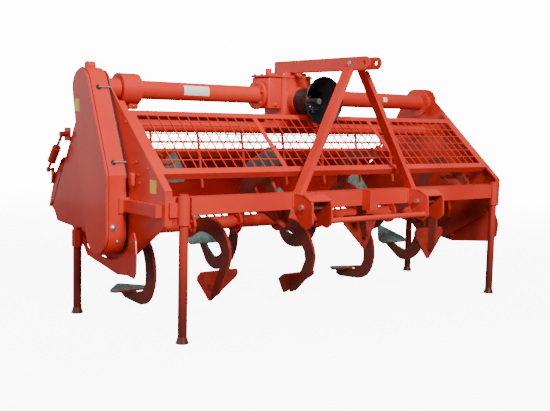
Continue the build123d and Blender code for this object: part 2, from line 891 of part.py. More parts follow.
# Comb of bent flat tines on a square bar under the tailgate's lower edge
def gate_comb():
    end = Vector(*gate_line[-1])
    fold = (end - Vector(*gate_line[-2])).normalized()
    across = Vector(fold.Y, -fold.X)
    spot = end + fold * (comb_bar_s / 2 + seat) + across * gate_t / 2
    half = comb_bar_s / 2
    corners = [spot + fold * half * a + across * half * b for a, b in ((-1, -1), (-1, 1), (1, 1), (1, -1))]
    shape = plate(outline([(p.X, p.Y) for p in corners]), -inner_x + 30, inner_x - 30)
    run = (tine_end[0] - spot.X, tine_end[1] - spot.Y)
    line = [
        (spot.X, spot.Y),
        (spot.X + run[0] * 0.3, spot.Y + run[1] * 0.3 - 15),
        (spot.X + run[0] * 0.65, spot.Y + run[1] * 0.65 - 17),
        tine_end,
    ]
    face = outline(line + inner_line(line, tine_t)[::-1])
    pitch = 2 * (inner_x - 60) / (tine_count - 1)
    for i in range(tine_count):
        x = (i - (tine_count - 1) / 2) * pitch
        shape += plate(face, x - tine_t / 2, x + tine_t / 2)
    return shape


nodes["tailgate_comb"] = gate_comb()


# Arms on the tailgate's ends, outboard of the plates: a pad on the skin, an upright and a pin
arm_inner_x = half_width + pass_gap
arm_outer_x = arm_inner_x + gate_arm_t


def gate_arm():
    low = Vector(*gate_line[3])
    up = (Vector(*gate_line[2]) - low).normalized()
    out = Vector(-up.Y, up.X)
    if out.X < 0:
        out = out * -1
    start = low + up * 12 + out * seat
    stop = start + up * gate_pad_l
    depth = out * gate_arm_t
    pad = outline([(p.X, p.Y) for p in (start, stop, stop + depth, start + depth)])
    web = outline(
        [
            (start.X, start.Y),
            (stop.X, stop.Y),
            (adjuster_eye[0] - eye_r, adjuster_eye[1] + eye_r * 0.75),
            (adjuster_eye[0] + eye_r * 0.75, adjuster_eye[1] + eye_r * 0.75),
            (adjuster_eye[0] + eye_r, adjuster_eye[1] - eye_r),
        ]
    )
    shape = plate(pad, half_width - gate_pad_w, arm_outer_x) + plate(web, arm_inner_x, arm_outer_x)
    return shape + prism_x(adjuster_rod_r, 6, arm_inner_x + 1, arm_outer_x + 8, *adjuster_eye)


nodes["tailgate_arms"] = both_sides(gate_arm())


# Adjusters that hold the tailgate: a bracket and pivot on each plate, a rod in its barrel, an eye
def gate_adjuster():
    x = arm_outer_x + 8 + pass_gap + adjuster_rod_r
    near = half_width + seat
    top = Vector(x, *adjuster_top)
    run = Vector(x, *adjuster_eye) - top
    place = Plane(origin=top, x_dir=(1, 0, 0), z_dir=run)
    shape = place * extrude(RegularPolygon(adjuster_rod_r, 6), run.length)
    shape += place * Pos(0, 0, run.length * 0.56) * Cylinder(barrel_r, barrel_l)
    shape += prism_x(eye_r, 8, x - 8, x + 8, *adjuster_eye)
    shape += prism_x(eye_r, 8, near, x + 14, *adjuster_top)
    bracket = Pos(*adjuster_top) * Rectangle(bracket_s, bracket_s)
    return shape + plate(bracket, near, near + 8)


nodes["gate_adjusters"] = both_sides(gate_adjuster())


# The origin goes to the middle of the machine's footprint on the floor
boxes = [shape.bounding_box() for shape in nodes.values()]
middle_x = (min(b.min.X for b in boxes) + max(b.max.X for b in boxes)) / 2
middle_y = (min(b.min.Y for b in boxes) + max(b.max.Y for b in boxes)) / 2
for name, shape in nodes.items():
    export_step(Pos(-middle_x, -middle_y, 0) * shape, f"parts/{name}.step")
print("origin moved by", round(middle_x, 4), round(middle_y, 4))
print("hinge at", round(hinge_y, 4), round(hinge_z, 4))
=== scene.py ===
import bpy
import bmesh
import math
import random
from mathutils import Matrix, Vector


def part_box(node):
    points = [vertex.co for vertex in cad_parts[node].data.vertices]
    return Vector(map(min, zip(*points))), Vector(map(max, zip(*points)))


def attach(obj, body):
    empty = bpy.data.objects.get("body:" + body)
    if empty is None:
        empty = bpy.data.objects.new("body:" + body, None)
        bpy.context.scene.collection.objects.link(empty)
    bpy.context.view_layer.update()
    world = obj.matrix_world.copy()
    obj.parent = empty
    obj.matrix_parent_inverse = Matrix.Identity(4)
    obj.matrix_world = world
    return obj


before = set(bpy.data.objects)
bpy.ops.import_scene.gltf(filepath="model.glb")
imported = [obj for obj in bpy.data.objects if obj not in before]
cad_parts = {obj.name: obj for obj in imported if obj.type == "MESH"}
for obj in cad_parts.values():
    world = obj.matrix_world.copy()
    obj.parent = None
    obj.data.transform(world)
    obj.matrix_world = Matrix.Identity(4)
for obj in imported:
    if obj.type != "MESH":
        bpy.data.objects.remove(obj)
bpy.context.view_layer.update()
print("frame loaded:", len(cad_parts), "nodes")

# The machine's own origin: middle of the beam, its front face, the floor
beamLow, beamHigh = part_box("front_beam")
machineOrigin = Vector(((beamLow.x + beamHigh.x) / 2, beamLow.y, 0))
alongX = Vector((1, 0, 0))
alongY = Vector((0, 1, 0))
alongZ = Vector((0, 0, 1))
random.seed(7)


def spot(x, y, z):  # millimetres from the machine's origin
    return machineOrigin + Vector((x, y, z)) / 1000


class Wire:  # a shader socket; sums and products of wires add their Math nodes
    def __init__(self, tree, socket=None):
        self.tree = tree
        self.socket = socket

    def make(self, kind, settings=None, links=None, out=0):
        node = self.tree.nodes.new(kind)
        for key, value in (settings or {}).items():
            if key == "stops":
                ramp = node.color_ramp.elements
                while len(ramp) < len(value):
                    ramp.new(0.5)
                for element, (place, colour) in zip(ramp, value):
                    element.position = place
                    element.color = colour
            else:
                setattr(node, key, value)
        for key, value in (links or {}).items():
            if isinstance(value, Wire):
                self.tree.links.new(value.socket, node.inputs[key])
            else:
                node.inputs[key].default_value = value
        return Wire(self.tree, node.outputs[out] if len(node.outputs) else None)

    def maths(self, operation, first, second=0.0):
        return self.make("ShaderNodeMath", {"operation": operation}, {0: first, 1: second})

    def __add__(self, other):
        return self.maths("ADD", self, other)

    __radd__ = __add__

    def __sub__(self, other):
        return self.maths("SUBTRACT", self, other)

    def __rsub__(self, other):
        return self.maths("SUBTRACT", other, self)

    def __mul__(self, other):
        return self.maths("MULTIPLY", self, other)

    __rmul__ = __mul__

    def step(self, low, high):  # 0 below low, 1 above high, smooth between
        return self.make(
            "ShaderNodeMapRange",
            {"interpolation_type": "SMOOTHSTEP"},
            {"Value": self, "From Min": low, "From Max": high},
        )

    def noise(self, scale, detail=3.0, roughness=0.5):  # self is the place
        sockets = {"Vector": self, "Scale": scale, "Detail": detail, "Roughness": roughness}
        return self.make("ShaderNodeTexNoise", {}, sockets)

    def blend(self, first, second):  # self is the share of the second colour
        return self.make("ShaderNodeMix", {"data_type": "RGBA"}, {0: self, 6: first, 7: second}, 2)

    def split(self):
        node = self.make("ShaderNodeSeparateXYZ", {}, {0: self}).socket.node
        return [Wire(self.tree, node.outputs[i]) for i in range(3)]


def newTree(name):
    material = bpy.data.materials.new(name)
    material.use_nodes = True
    material.node_tree.nodes.clear()
    return material, Wire(material.node_tree)


def closeTree(tree, constants, links):
    shader = tree.make("ShaderNodeBsdfPrincipled", {}, {**constants, **links})
    tree.make("ShaderNodeOutputMaterial", {}, {"Surface": shader})


# Gloss paint over plate and tube: broad tone drift, orange peel, fine scuffs and dust low down, with painted
# shade that darkens the paint towards the floor and on faces turned in towards the middle
paintLook = {
    "base": (0.62, 0.034, 0.018, 1),
    "deep": (0.52, 0.024, 0.014, 1),
    # low and the height below which the paint turns to it: painted shade, darker towards the floor
    "low": (0.11, 0.014, 0.011, 1),
    "lowShadeTop": 0.42,
    # Painted shade: the darker red for faces turned in towards the middle, out at the sides and low down
    "inside": (0.26, 0.020, 0.013, 1),
    "dust": (0.30, 0.15, 0.10, 1),
    "roughness": 0.34,
    "peelScale": 260.0,
    "scuffScale": 38.0,
}


def between(value, low, high):  # 1 between low and high, 0 outside
    return value.step(low - 0.0004, low + 0.0004) * (1 - value.step(high - 0.0004, high + 0.0004))


def paintMaterial(name, look, film=None, dustTop=0.12, dustShare=0.25):
    material, tree = newTree(name)
    place = tree.make("ShaderNodeTexCoord", {}, {}, 3)
    broad = place.noise(2.2, 3)
    cloud = place.noise(11.0, 4, 0.6)
    scuff = place.noise(look["scuffScale"], 6, 0.7).step(0.62, 0.74)
    height = place.split()[2]
    dust = (1 - height.step(0.0, dustTop)) * cloud.step(0.35, 0.75) * dustShare
    tone = broad.step(0.3, 0.7).blend(look["base"], look["deep"])
    # Painted shade: below the height set in the look, the paint turns to the near-black low colour towards
    # the floor
    paintedLowShade = (1 - (height + broad * 0.12).step(0.0, look["lowShadeTop"])) * 0.9
    # Painted shade: faces turned in towards the middle, more than about a metre out along x and below about a
    # metre high, turn to the darker inside red
    inward = place.split()[0] * tree.make("ShaderNodeTexCoord", {}, {}, 1).split()[0]
    paintedRecessShade = (1 - (inward + 2.0).step(0.88, 1.08)) * (1 - (height + broad * 0.2).step(0.65, 1.15)) * 0.9
    tone = paintedRecessShade.blend(tone, look["inside"])
    colour = dust.blend(paintedLowShade.blend(tone, look["low"]), look["dust"])
    if film:
        x, y, z = place.split()
        onFilm = between(x, *film["x"]) * between(y, *film["y"]) * between(z, *film["z"])
        colour = onFilm.blend(colour, cloud.step(0.4, 0.85).blend(film["face"], film["worn"]))
    peel = place.noise(look["peelScale"], 2)
    wave = place.noise(look["scuffScale"] * 0.5, 2)
    bump = tree.make(
        "ShaderNodeBump", {}, {"Strength": 0.05, "Distance": 0.001, "Height": peel * 0.35 + wave}
    )
    closeTree(
        tree,
        {"Coat Roughness": 0.10, "IOR": 1.45, "Specular IOR Level": 0.35},
        {
            "Base Color": colour,
            "Roughness": scuff * 0.10 + dust * 0.4 + cloud * 0.06 + look["roughness"],
            "Coat Weight": 0.16 - dust * 0.1,
            "Normal": bump,
        },
    )
    return material


# Spades: a dark red that paints in the shade they sit in, darker still on the flat sides as painted shade,
# and a bare grey-green face on the side that turns to the rotor
spadeLook = {
    # base and deep: painted shade, a red much darker than the frame's paint for the spades' place in shadow
    # under the frame
    "base": (0.34, 0.026, 0.016, 1),
    "deep": (0.17, 0.016, 0.012, 1),
    # Painted shade: the colours for the flat sides, which face along x
    "shadedFlank": (0.165, 0.036, 0.028, 1),
    "shadedFlankDeep": (0.215, 0.030, 0.022, 1),
    "inner": (0.15, 0.25, 0.22, 1),
    "innerDeep": (0.08, 0.12, 0.11, 1),
}


def spadeMaterial():
    material, tree = newTree("spadePaint")
    place = tree.make("ShaderNodeTexCoord", {}, {}, 3)
    facing = tree.make("ShaderNodeTexCoord", {}, {}, 1)
    low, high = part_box("rotor_tube")
    hub = (0.0, (low.y + high.y) / 2, (low.z + high.z) / 2)
    radial = place.make("ShaderNodeVectorMath", {"operation": "SUBTRACT"}, {0: place, 1: hub})
    flat = radial.make("ShaderNodeVectorMath", {"operation": "MULTIPLY"}, {0: radial, 1: (0, 1, 1)})
    outward = flat.make("ShaderNodeVectorMath", {"operation": "NORMALIZE"}, {0: flat})
    towards = outward.make("ShaderNodeVectorMath", {"operation": "DOT_PRODUCT"}, {0: outward, 1: facing}, 1)
    reach = flat.make("ShaderNodeVectorMath", {"operation": "LENGTH"}, {0: flat}, 1)
    inner = (1 - (towards + 1.0).step(0.25, 0.45)) * reach.step(0.30, 0.32)
    streak = place.noise(26.0, 5, 0.65)
    grain = place.noise(140.0, 3)
    # Painted shade: faces turned along x take the darker flank colour
    across = facing.split()[0].maths("ABSOLUTE", facing.split()[0])
    shadedFlank = streak.step(0.35, 0.7).blend(spadeLook["shadedFlank"], spadeLook["shadedFlankDeep"])
    face = streak.step(0.35, 0.7).blend(spadeLook["base"], spadeLook["deep"])
    paint = across.step(0.6, 0.8).blend(face, shadedFlank)
    steel = streak.step(0.3, 0.75).blend(spadeLook["inner"], spadeLook["innerDeep"])
    bump = tree.make("ShaderNodeBump", {}, {"Strength": 0.12, "Distance": 0.001, "Height": grain + streak})
    closeTree(
        tree,
        {"Coat Roughness": 0.15, "Specular IOR Level": 0.25},
        {
            "Base Color": inner.blend(paint, steel),
            "Roughness": streak * 0.22 + 0.24,
            "Coat Weight": (1 - inner) * 0.12,
            "Normal": bump,
        },
    )
    return material


# Zinc-plated steel of bolts and pins, and the dark steel of the comb
def steelMaterial(name, bright, dark, roughness, metallic):
    material, tree = newTree(name)
    place = tree.make("ShaderNodeTexCoord", {}, {}, 3)
    patch = place.noise(90.0, 4, 0.6)
    grain = place.noise(700.0, 2)
    bump = tree.make("ShaderNodeBump", {}, {"Strength": 0.1, "Distance": 0.0005, "Height": grain})
    closeTree(
        tree,
        {"Metallic": metallic},
        {
            "Base Color": patch.step(0.3, 0.7).blend(bright, dark),
            "Roughness": patch * 0.25 + roughness,
            "Normal": bump,
        },
    )
    return material


def plasticMaterial(name, deep, pale):
    material, tree = newTree(name)
    place = tree.make("ShaderNodeTexCoord", {}, {}, 3)
    patch = place.noise(30.0, 4, 0.6)
    grain = place.noise(900.0, 2)
    bump = tree.make("ShaderNodeBump", {}, {"Strength": 0.18, "Distance": 0.0004, "Height": grain})
    closeTree(
        tree,
        {},
        {
            "Base Color": patch.step(0.3, 0.8).blend(deep, pale),
            "Roughness": patch * 0.2 + 0.26,
            "Normal": bump,
        },
    )
    return material


def filmMaterial(name, face, worn):
    material, tree = newTree(name)
    place = tree.make("ShaderNodeTexCoord", {}, {}, 3)
    patch = place.noise(60.0, 4, 0.6)
    bump = tree.make("ShaderNodeBump", {}, {"Strength": 0.06, "Distance": 0.0005, "Height": patch})
    closeTree(
        tree,
        {},
        {
            "Base Color": patch.step(0.4, 0.85).blend(face, worn),
            "Roughness": patch * 0.2 + 0.25,
            "Normal": bump,
        },
    )
    return material


coverLow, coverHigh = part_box("chain_case_cover")
caseLabel = {
    "x": (coverLow.x - 0.002, coverLow.x + 0.002),
    "y": (spot(0, 715, 0).y, spot(0, 773, 0).y),
    "z": (1.1045, 1.1695),
    "face": (0.80, 0.52, 0.03, 1),
    "worn": (0.62, 0.40, 0.05, 1),
}
# Stands: painted shade, a darker red that turns near-black from the floor up to 0.8 m
standLook = {**paintLook, "base": (0.52, 0.031, 0.018, 1), "low": (0.030, 0.007, 0.006, 1), "lowShadeTop": 0.80}
finishes = {
    "red": paintMaterial("redPaint", paintLook),
    "cover": paintMaterial("coverPaint", paintLook, caseLabel),
    "stand": paintMaterial("standPaint", standLook, None, 0.10, 0.04),
    "spade": spadeMaterial(),
    "zinc": steelMaterial("zincSteel", (0.62, 0.62, 0.60, 1), (0.42, 0.42, 0.41, 1), 0.22, 0.9),
    "darkSteel": steelMaterial("darkSteel", (0.10, 0.065, 0.05, 1), (0.05, 0.04, 0.038, 1), 0.38, 0.6),
    "black": plasticMaterial("blackPlastic", (0.006, 0.009, 0.010, 1), (0.016, 0.021, 0.022, 1)),
    "paintedPin": steelMaterial("paintedPin", (0.42, 0.06, 0.035, 1), (0.30, 0.20, 0.18, 1), 0.35, 0.25),
    "yellow": filmMaterial("yellowFilm", (0.80, 0.52, 0.03, 1), (0.62, 0.40, 0.05, 1)),
    "white": filmMaterial("whiteFilm", (0.80, 0.79, 0.77, 1), (0.62, 0.60, 0.58, 1)),
}
nodeFinish = {
    "chain_case_cover": "cover",
    "tailgate_comb": "darkSteel",
    "link_pins": "paintedPin",
    "input_shaft": "zinc",
    "shaft_guard": "black",
    "left_spades": "spade",
    "middle_spades": "spade",
    "right_spades": "spade",
}
for nodeName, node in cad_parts.items():
    finish = "stand" if nodeName.endswith("_stand") else nodeFinish.get(nodeName, "red")
    node.data.materials.clear()
    node.data.materials.append(finishes[finish])
print("finishes made:", len(finishes))


# New pieces: a mesh is gathered in one bmesh, then placed as one object that rides on a body
def finishPiece(name, mesh, body, finish, smoothAngle=40):
    bmesh.ops.recalc_face_normals(mesh, faces=mesh.faces)
    data = bpy.data.meshes.new(name)
    mesh.to_mesh(data)
    mesh.free()
    piece = bpy.data.objects.new(name, data)
    bpy.context.scene.collection.objects.link(piece)
    data.materials.append(finishes[finish])
    data.polygons.foreach_set("use_smooth", [True] * len(data.polygons))
    data.set_sharp_from_angle(angle=math.radians(smoothAngle))
    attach(piece, body)
    return piece


def turnTo(direction, place):  # a matrix that takes +Z to the direction
    return Matrix.Translation(place) @ Vector(direction).to_track_quat("Z", "Y").to_matrix().to_4x4()


def softEdges(mesh, edges, offset, segments=1):
    bmesh.ops.bevel(
        mesh, geom=edges, offset=offset, segments=segments, profile=0.5, affect="EDGES", material=-1,
        offset_type="OFFSET", clamp_overlap=True,
    )


def addDisc(mesh, matrix, radius, height, segments=20, topRadius=None, bevel=0.0):
    made = bmesh.ops.create_cone(
        mesh,
        cap_ends=True,
        segments=segments,
        radius1=radius,
        radius2=radius if topRadius is None else topRadius,
        depth=height,
        matrix=matrix @ Matrix.Translation((0, 0, height / 2)),
    )
    if bevel:
        ring = {
            e for v in made["verts"] for e in v.link_edges
            if all(len(f.verts) > 4 or segments == 4 for f in e.link_faces[:1])
        }
        rim = [e for e in ring if len(e.link_faces) == 2 and e.calc_face_angle(0) > 0.9]
        softEdges(mesh, rim, bevel)
    return made["verts"]


boltLook = {"washer": 1.35, "washerHeight": 0.18, "head": 0.62, "dome": 0.16}


def addBolt(mesh, place, direction, radius, turn=0.0):  # washer, hexagon head and its chamfer
    base = turnTo(direction, place) @ Matrix.Rotation(turn, 4, "Z")
    thick = radius * boltLook["washerHeight"]
    addDisc(mesh, base, radius * boltLook["washer"], thick, 18)
    head = radius * boltLook["head"]
    addDisc(mesh, base @ Matrix.Translation((0, 0, thick)), radius, head, 6)
    top = base @ Matrix.Translation((0, 0, thick + head))
    addDisc(mesh, top, radius * 0.92, radius * boltLook["dome"], 12, radius * 0.7)


def boltGroup(name, body, finish, radius, places):
    mesh = bmesh.new()
    for place, direction in places:
        addBolt(mesh, place, direction, radius, random.uniform(0, 1))
    return finishPiece(name, mesh, body, finish)


def ringOf(centre, axis, across, radius, count, start=0.0):  # places on a bolt circle
    other = Vector(axis).cross(across)
    for i in range(count):
        angle = start + i * 2 * math.pi / count
        yield Vector(centre) + (Vector(across) * math.cos(angle) + other * math.sin(angle)) * radius


# Bolt circles on flanges, bearings and the pinion's face: node, side along x, circle, count, bolt
lidLow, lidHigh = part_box("gearbox_lid")
boxLow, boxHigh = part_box("gearbox")
tubeLow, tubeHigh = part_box("left_drive_tube")
discLow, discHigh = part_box("right_support_tube")
driveAxis = Vector((0, (tubeLow.y + tubeHigh.y) / 2, (tubeLow.z + tubeHigh.z) / 2))
flangeBolts = {"circle": 0.071, "count": 6, "radius": 0.0085, "thick": 0.018}
places = []
for side, faceX in ((-1, tubeHigh.x - flangeBolts["thick"]), (1, discLow.x + flangeBolts["thick"])):
    centre = Vector((faceX, driveAxis.y, driveAxis.z))
    for place in ringOf(centre, alongX * side, alongY, flangeBolts["circle"], flangeBolts["count"], 0.3):
        places.append((place, alongX * side))
boltGroup("tubeFlangeBolts", "frame", "red", flangeBolts["radius"], places)

pinionBolts = {"circle": 0.062, "count": 6, "radius": 0.008, "frontY": 552, "z": 1200}
centre = spot(0, pinionBolts["frontY"], pinionBolts["z"])
pinionRing = ringOf(centre, alongY, alongX, pinionBolts["circle"], pinionBolts["count"], 0.5)
boltGroup("pinionBolts", "frame", "zinc", pinionBolts["radius"], [(place, -alongY) for place in pinionRing])

lidBolts = {"inset": 0.017, "radius": 0.008, "step": 0.015}
lidTop = lidLow.z + lidBolts["step"]
places = []
for ix in (-1, 0, 1):
    for iy in (-1, 0, 1):
        if ix or iy:
            x = (lidLow.x + lidHigh.x) / 2 + ix * ((lidHigh.x - lidLow.x) / 2 - lidBolts["inset"])
            y = (lidLow.y + lidHigh.y) / 2 + iy * ((lidHigh.y - lidLow.y) / 2 - lidBolts["inset"])
            corner = 0.0 if not (ix and iy) else 0.006
            places.append((Vector((x - ix * corner, y - iy * corner, lidTop)), alongZ))
boltGroup("lidBolts", "frame", "zinc", lidBolts["radius"], places)

bearingBolts = {"circle": 0.079, "count": 6, "radius": 0.009}
bearLow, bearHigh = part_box("rotor_bearings")
rotorLow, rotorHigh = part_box("rotor_tube")
rotorAxis = Vector((0, (rotorLow.y + rotorHigh.y) / 2, (rotorLow.z + rotorHigh.z) / 2))
places = []
for side, faceX in ((1, bearHigh.x - 0.0205), (-1, spot(1227.7, 0, 0).x), (1, spot(-1227.7, 0, 0).x)):
    centre = Vector((faceX, rotorAxis.y, rotorAxis.z))
    for place in ringOf(centre, alongX * side, alongY, bearingBolts["circle"], bearingBolts["count"], 0.2):
        places.append((place, alongX * side))
boltGroup("bearingBolts", "frame", "zinc", bearingBolts["radius"], places)
print("bolts placed")

# Blank labels: thin rounded films on the case cover, the side bar and the tubes
labelLook = {"thick": 0.0006, "corner": 0.004}


def flatLabel(name, finish, centre, outward, up, width, height):
    mesh = bmesh.new()
    across = Vector(up).cross(outward).normalized()
    basis = Matrix((across, Vector(up).normalized(), Vector(outward).normalized())).transposed().to_4x4()
    made = bmesh.ops.create_grid(
        mesh, x_segments=1, y_segments=1, size=0.5, matrix=Matrix.Diagonal((width, height, 1, 1))
    )
    softCorner = [v for v in made["verts"]]
    bmesh.ops.bevel(
        mesh,
        geom=softCorner,
        offset=labelLook["corner"],
        segments=3,
        profile=0.5,
        affect="VERTICES",
        material=-1,
    )
    grown = bmesh.ops.extrude_face_region(mesh, geom=list(mesh.faces))
    raised = [v for v in grown["geom"] if isinstance(v, bmesh.types.BMVert)]
    bmesh.ops.translate(mesh, verts=raised, vec=(0, 0, labelLook["thick"]))
    bmesh.ops.transform(mesh, verts=mesh.verts, matrix=Matrix.Translation(centre) @ basis)
    return finishPiece(name, mesh, "frame", finish)


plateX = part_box("left_side_plate")[0].x
flatLabel("plateLabel", "yellow", Vector((plateX, spot(0, 148, 0).y, 0.750)), -alongX, alongZ, 0.060, 0.065)


def tubeLabel(name, finish, x0, x1, radius, span, lean):
    mesh = bmesh.new()
    start = Matrix.Rotation(lean - span / 2, 4, "X") @ Vector((0, -radius, 0))
    first = mesh.verts.new(Vector((x0, driveAxis.y, driveAxis.z)) + start)
    second = mesh.verts.new(Vector((x1, driveAxis.y, driveAxis.z)) + start)
    edge = mesh.edges.new((first, second))
    middle = (0, driveAxis.y, driveAxis.z)
    bmesh.ops.spin(mesh, geom=[first, second, edge], cent=middle, axis=alongX, angle=span, steps=12)
    bmesh.ops.recalc_face_normals(mesh, faces=mesh.faces)
    bmesh.ops.solidify(mesh, geom=list(mesh.faces), thickness=labelLook["thick"])
    return finishPiece(name, mesh, "frame", finish)


tubeLabel("leftTubeLabel", "white", spot(-770, 0, 0).x, spot(-604, 0, 0).x, 0.0514, 1.1, -0.15)
tubeLabel("rightTubeLabel", "white", spot(780, 0, 0).x, spot(815, 0, 0).x, 0.0514, 0.6, -0.15)
print("labels placed")


# Pieces that the photograph shows and that only the look needs, each with its sizes beside it
def addBlock(mesh, low, high, bevel=0.0):  # corners in millimetres from the machine's origin
    a, b = spot(*low), spot(*high)
    size = b - a
    made = bmesh.ops.create_cube(
        mesh,
        size=1.0,
        matrix=Matrix.Translation((a + b) / 2) @ Matrix.Diagonal((abs(size.x), abs(size.y), abs(size.z), 1)),
    )
    if bevel:
        softEdges(mesh, list({e for v in made["verts"] for e in v.link_edges}), bevel, 3)


def addRod(mesh, start, end, radius, segments=12, bevel=0.0):
    a, b = Vector(start), Vector(end)
    addDisc(mesh, turnTo(b - a, a), radius, (b - a).length, segments, None, bevel)


def addDome(mesh, place, direction, radius):  # a washer and the round head of a bolt
    base = turnTo(direction, place)
    addDisc(mesh, base, radius * 1.25, radius * 0.18, 24)
    rings = 5
    for i in range(rings):
        low, high = i * math.pi / 2 / rings, (i + 1) * math.pi / 2 / rings
        lift = radius * (0.18 + 0.75 * math.sin(low))
        height = radius * 0.75 * (math.sin(high) - math.sin(low))
        top = max(radius * math.cos(high), 0.0004)
        addDisc(mesh, base @ Matrix.Translation((0, 0, lift)), radius * math.cos(low), height, 24, top)


def addStrip(mesh, x0, x1, line, thick):  # a bent strip between two x, along a line of (y, z) in millimetres
    rows = []
    for i, (y, z) in enumerate(line):
        before, after = line[max(i - 1, 0)], line[min(i + 1, len(line) - 1)]
        run = Vector((after[0] - before[0], after[1] - before[1])).normalized()
        inY, inZ = y + run.y * thick, z - run.x * thick
        corners = ((x0, y, z), (x1, y, z), (x1, inY, inZ), (x0, inY, inZ))
        rows.append([mesh.verts.new(spot(*corner)) for corner in corners])
    for low, high in zip(rows, rows[1:]):
        for k in range(4):
            mesh.faces.new((low[k], low[(k + 1) % 4], high[(k + 1) % 4], high[k]))
    mesh.faces.new(rows[0])
    mesh.faces.new(rows[-1][::-1])


weldLook = {"pitch": 0.0035, "ripple": 0.16, "sides": 8}


def addWeld(mesh, start, end, radius):  # a rippled bead between two places
    run = Vector(end) - Vector(start)
    basis = turnTo(run, start)
    count = max(2, round(run.length / weldLook["pitch"]))
    rows = []
    for i in range(count + 1):
        taper = min(1.0, 0.45 + 0.3 * min(i, count - i))
        size = radius * taper * (1 + weldLook["ripple"] * (i % 2)) * random.uniform(0.94, 1.06)
        place = basis @ Matrix.Translation((0, 0, run.length * i / count))
        ring = bmesh.ops.create_circle(mesh, segments=weldLook["sides"], radius=size, matrix=place)
        rows.append([e for e in {edge for v in ring["verts"] for edge in v.link_edges}])
    for below, above in zip(rows, rows[1:]):
        bmesh.ops.bridge_loops(mesh, edges=below + above)
    bmesh.ops.holes_fill(mesh, edges=rows[0] + rows[-1], sides=0)


# Left half of the gearbox's casting, with its lid and lifting lug
castLook = {
    "low": (-214, 614, 1150),
    "high": (-113, 786, 1337),
    "edge": 0.010,
    "lidLow": (-219, 608, 1337),
    "lidHigh": (-121, 792, 1352),
    "lidEdge": 0.004,
    "lug": (-192, 648, 0.019, 0.036),
}
mesh = bmesh.new()
addBlock(mesh, castLook["low"], castLook["high"], castLook["edge"])
addBlock(mesh, castLook["lidLow"], castLook["lidHigh"], castLook["lidEdge"])
lidZ = castLook["lidHigh"][2]
lugX, lugY, lugR, lugH = castLook["lug"]
addDisc(mesh, Matrix.Translation(spot(lugX, lugY, lidZ)), lugR, lugH, 28, None, 0.003)
finishPiece("gearCasting", mesh, "frame", "red")
boltGroup("castingBolts", "frame", "red", 0.008, [
    (spot(x, y, lidZ), alongZ) for x, y in ((-200, 700), (-200, 770), (-150, 775), (-150, 625))
])
plugPlace = spot(-160, castLook["low"][1], 1176)
boltGroup("gearPlug", "frame", "red", 0.011, [(plugPlace, -alongY)])

# Rim and inner ring of the shaft's guard
rimLook = {
    "rings": ((0.1405, 353.5, 0.0032), (0.1165, 386, 0.0024), (0.0785, 451, 0.0030)),  # radius, y, wire
    "steps": 64,
    "sides": 8,
}
mesh = bmesh.new()
for ringRadius, y, thick in rimLook["rings"]:
    centre = spot(0, y, pinionBolts["z"])
    section = bmesh.ops.create_circle(
        mesh, segments=rimLook["sides"], radius=thick, matrix=Matrix.Translation(centre + alongX * ringRadius)
    )
    edges = list({e for v in section["verts"] for e in v.link_edges})
    bmesh.ops.spin(
        mesh,
        geom=section["verts"] + edges,
        cent=centre,
        axis=alongY,
        angle=2 * math.pi,
        steps=rimLook["steps"],
        use_merge=True,
    )
finishPiece("guardRims", mesh, "frame", "black")

# Black strip in the gap between the chain case and the left plate, along the case's front: painted shade, a
# dark sheet standing in for the shadow in the gap
gapShadeLook = {
    "x": (-1269, -1251),
    "front": 398,
    "low": 430,
    "kink": 787,
    "centre": (704, 1230),
    "radius": 96,
    "thick": 6,
    "bends": 14,
    "firstBend": 155.8,
    "bendStep": 10,
}
line = [(gapShadeLook["front"], gapShadeLook["low"]), (gapShadeLook["front"], gapShadeLook["kink"])]
for i in range(gapShadeLook["bends"]):
    angle = math.radians(gapShadeLook["firstBend"] - i * gapShadeLook["bendStep"])
    line.append((
        gapShadeLook["centre"][0] + gapShadeLook["radius"] * math.cos(angle),
        gapShadeLook["centre"][1] + gapShadeLook["radius"] * math.sin(angle),
    ))
mesh = bmesh.new()
addStrip(mesh, *gapShadeLook["x"], line, gapShadeLook["thick"])
finishPiece("caseGapShade", mesh, "frame", "black", 30)

# Bent caps over the hitch brackets, from the beam's top down the cheeks' sloping edges
capLook = {"x": (358, 502), "line": ((62, 706), (-84, 703), (-96, 699), (-146, 676)), "thick": 6}
mesh = bmesh.new()
for side in (-1, 1):
    addStrip(mesh, side * capLook["x"][0], side * capLook["x"][1], capLook["line"], -capLook["thick"])
finishPiece("hitchCaps", mesh, "frame", "red", 20)

# Two latch bolts that hold the case to the plate, and the two domed bolts low on its front
latchLook = {"x": -1322, "spots": ((588, 1229), (419, 853)), "lift": 0.007, "hole": 0.0145, "rod": 0.0034}
slopeOut = Vector((0, -0.912, 0.41))
holes, rods = bmesh.new(), bmesh.new()
for y, z in latchLook["spots"]:
    face = spot(latchLook["x"], y, z)
    # Painted shade: a thin black disc at each latch hole stands in for the shadow inside the hole
    addDisc(holes, turnTo(slopeOut, face), latchLook["hole"], 0.0012, 24)
    start = face + slopeOut * latchLook["lift"] + alongX * 0.002
    addRod(rods, start, start + alongX * 0.066, latchLook["rod"], 14)
    addRod(rods, start - alongX * 0.006, start + alongX * 0.004, 0.0065, 6)
    addRod(rods, start + alongX * 0.058, start + alongX * 0.064, 0.0058, 6)
finishPiece("latchHoleShade", holes, "frame", "black")
finishPiece("latchBolts", rods, "frame", "zinc")
mesh = bmesh.new()
addDome(mesh, spot(-1337, 391, 528), -alongY, 0.0145)
addDome(mesh, spot(-1309, 399.5, 456), Vector((0, -0.93, -0.36)), 0.008)
finishPiece("domeBolts", mesh, "frame", "zinc")

